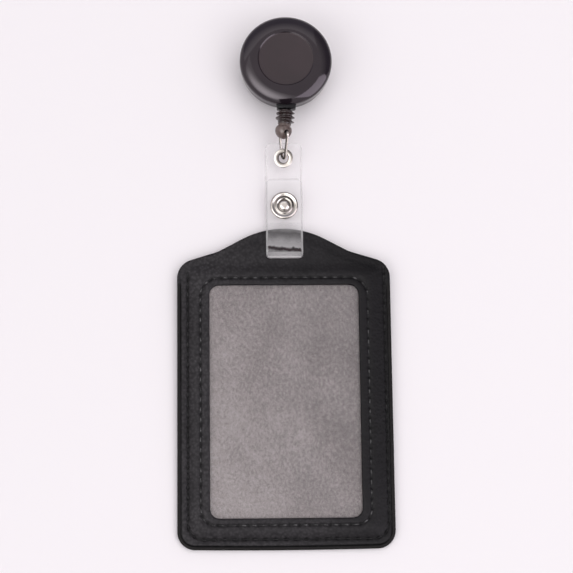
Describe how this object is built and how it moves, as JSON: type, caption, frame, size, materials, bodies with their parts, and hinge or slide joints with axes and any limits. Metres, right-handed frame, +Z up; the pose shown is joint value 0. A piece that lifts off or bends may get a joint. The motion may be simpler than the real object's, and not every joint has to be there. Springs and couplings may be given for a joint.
{
  "type": "badge holder with retractable reel",
  "caption": "Vertical badge holder with a window and stitched frame, hung by a clear snap strap, wire link and ribbed cord end from a round retractable reel with a belt clip.",
  "frame": {"origin": "middle of the footprint on the surface that the part lies on, face up", "axes": "+Z up, out of the window; +Y from the holder to the reel; +X to the right seen from the front"},
  "size_m": [0.073, 0.1842, 0.0135],
  "materials": {
    "black_leather": "satin pebble grain",
    "grey_suede": "matt brushed",
    "clear_film": "clear gloss",
    "clear_vinyl": "clear gloss",
    "nickel": "polished nickel plate",
    "smoky_plastic": "gloss, smoky",
    "dark_plastic": "satin",
    "spring_steel": "satin",
    "black_cord": "matt braided",
    "black_thread": "matt",
    "grey_board": "matt"
  },
  "bodies": {
    "reel": {"reel_front_cover": "smoky_plastic", "reel_back_cover": "smoky_plastic", "cord_guide": "smoky_plastic", "clip_plate": "spring_steel", "clip_rivet": "nickel"},
    "clip": {"clip_arm": "spring_steel"},
    "spool": {"spool": "dark_plastic", "power_spring": "spring_steel", "cord_inner_turns": "black_cord", "cord_outer_turns": "black_cord"},
    "cord": {"cord_run": "black_cord"},
    "cord_end": {"cord_end_boot": "dark_plastic"},
    "link": {"wire_link": "nickel"},
    "tab": {"strap_tab": "clear_vinyl", "strap_eyelet": "nickel", "eyelet_washer": "nickel"},
    "strap": {"strap_rear_leg": "clear_vinyl", "snap_post": "nickel", "snap_stud": "nickel"},
    "flap": {"strap_flap": "clear_vinyl", "snap_socket": "nickel", "snap_cap": "nickel"},
    "holder": {"front_panel": "black_leather", "back_panel": "black_leather", "window_film": "clear_film", "pocket_lining": "grey_suede", "back_stiffener": "grey_board", "window_seam_thread": "black_thread", "outer_seam_thread": "black_thread"}
  },
  "joints": [
    {"name": "cord_pull", "type": "slide", "parent": "reel", "child": "cord", "axis": [0, -1, 0], "range_m": [0, 0.6], "stiffness_N_per_m": 1, "springref_m": -0.8, "deforming": ["cord_run"]},
    {"name": "spool_spin", "type": "hinge", "parent": "reel", "child": "spool", "pos_m": [0.0014, 0.07608, 0.00915], "axis": [0, 0, 1], "range_deg": [0, 3100], "deforming": ["power_spring"]},
    {"name": "clip_flex", "type": "hinge", "parent": "reel", "child": "clip", "pos_m": [0.0014, 0.08729, 0.0046], "axis": [1, 0, 0], "range_deg": [0, 8], "stiffness_Nm_per_rad": 0.5},
    {"name": "cord_twist", "type": "hinge", "parent": "cord", "child": "cord_end", "pos_m": [0.0014, 0.05888, 0.00915], "axis": [0, 1, 0], "range_deg": [-180, 180]},
    {"name": "link_swing", "type": "hinge", "parent": "cord_end", "child": "link", "pos_m": [0.0004, 0.05149, 0.00842], "axis": [0.342, -0.4119, 0.8446], "range_deg": [-70, 70]},
    {"name": "strap_swing", "type": "hinge", "parent": "link", "child": "tab", "pos_m": [0.0004, 0.04286, 0.00421], "axis": [0, -0.2756, 0.9613], "range_deg": [-35, 35]},
    {"name": "strap_bend", "type": "hinge", "parent": "tab", "child": "strap", "pos_m": [0.0004, 0.0369, 0.0025], "axis": [1, 0, 0], "range_deg": [-45, 45]},
    {"name": "flap_open", "type": "hinge", "parent": "strap", "child": "flap", "pos_m": [0.0004, 0.01036, 0.00505], "axis": [1, 0, 0], "range_deg": [0, 150]},
    {"name": "holder_swing", "type": "hinge", "parent": "strap", "child": "holder", "pos_m": [0, 0.01012, 0.00255], "axis": [1, 0, 0], "range_deg": [-1.5, 2]}
  ],
  "couplings": [
    {"joint": "spool_spin", "follows": "cord_pull", "rad_per_m": 84.746}
  ]
}
